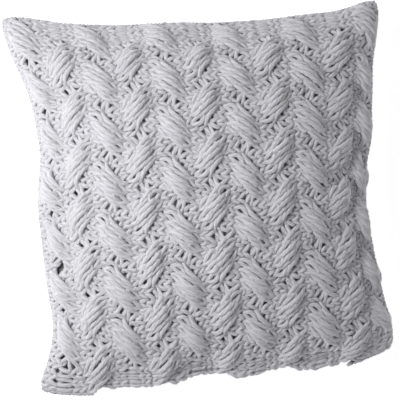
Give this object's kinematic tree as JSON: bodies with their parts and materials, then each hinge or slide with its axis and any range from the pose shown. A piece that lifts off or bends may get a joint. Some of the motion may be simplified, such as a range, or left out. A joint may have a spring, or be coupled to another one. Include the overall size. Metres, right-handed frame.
{
  "type": "throw pillow",
  "caption": "Square stuffed throw pillow with a chunky woven-cable knit cover, a zip along its bottom seam and a separate fibre-filled inner cushion.",
  "frame": {"origin": "under the middle of the flat on the back panel that the pillow rests on", "axes": "+Z out of the front panel, +Y towards the top edge, +X towards the right edge as the front is looked at; the zip runs along X in the -Y edge"},
  "size_m": [0.4466, 0.447, 0.1411],
  "materials": {
    "knit_yarn": "chunky acrylic yarn, soft and matte with a faint sheen",
    "seam_yarn": "plied yarn, matte",
    "casing_fabric": "plain woven, matte",
    "sewing_thread": "spun polyester thread",
    "fibre": "loose polyester fibre",
    "label_tape": "satin tape, blank",
    "zip_tape": "woven tape, matte",
    "zip_coil": "nylon coil, satin",
    "zip_metal": "plated die-cast metal, satin"
  },
  "bodies": {
    "cover": {"knit_front_panel": "knit_yarn", "knit_back_panel": "knit_yarn", "seam_yarn_left": "seam_yarn", "seam_yarn_right": "seam_yarn", "seam_yarn_top": "seam_yarn", "seam_yarn_bottom_left": "seam_yarn", "seam_yarn_bottom_right": "seam_yarn", "casing_front": "casing_fabric", "casing_back": "casing_fabric", "casing_seam_thread": "sewing_thread", "fibre_filling": "fibre", "care_label": "label_tape", "zip_tape_front": "zip_tape", "zip_tape_back": "zip_tape", "zip_stitching_front": "sewing_thread", "zip_stitching_back": "sewing_thread", "zip_coil_front": "zip_coil", "zip_coil_back": "zip_coil", "zip_top_stop_front": "zip_metal", "zip_top_stop_back": "zip_metal", "zip_bottom_stop": "zip_metal"},
    "slider": {"zip_slider": "zip_metal"},
    "pull": {"zip_pull_tab": "zip_metal"}
  },
  "joints": [
    {"name": "zip_open", "type": "slide", "parent": "cover", "child": "slider", "axis": [-1, 0, 0], "range_m": [0, 0.244]},
    {"name": "pull_swing", "type": "hinge", "parent": "slider", "child": "pull", "pos_m": [0.122, -0.2095, 0.066], "axis": [0, 0, 1], "range_deg": [0, 170]}
  ]
}
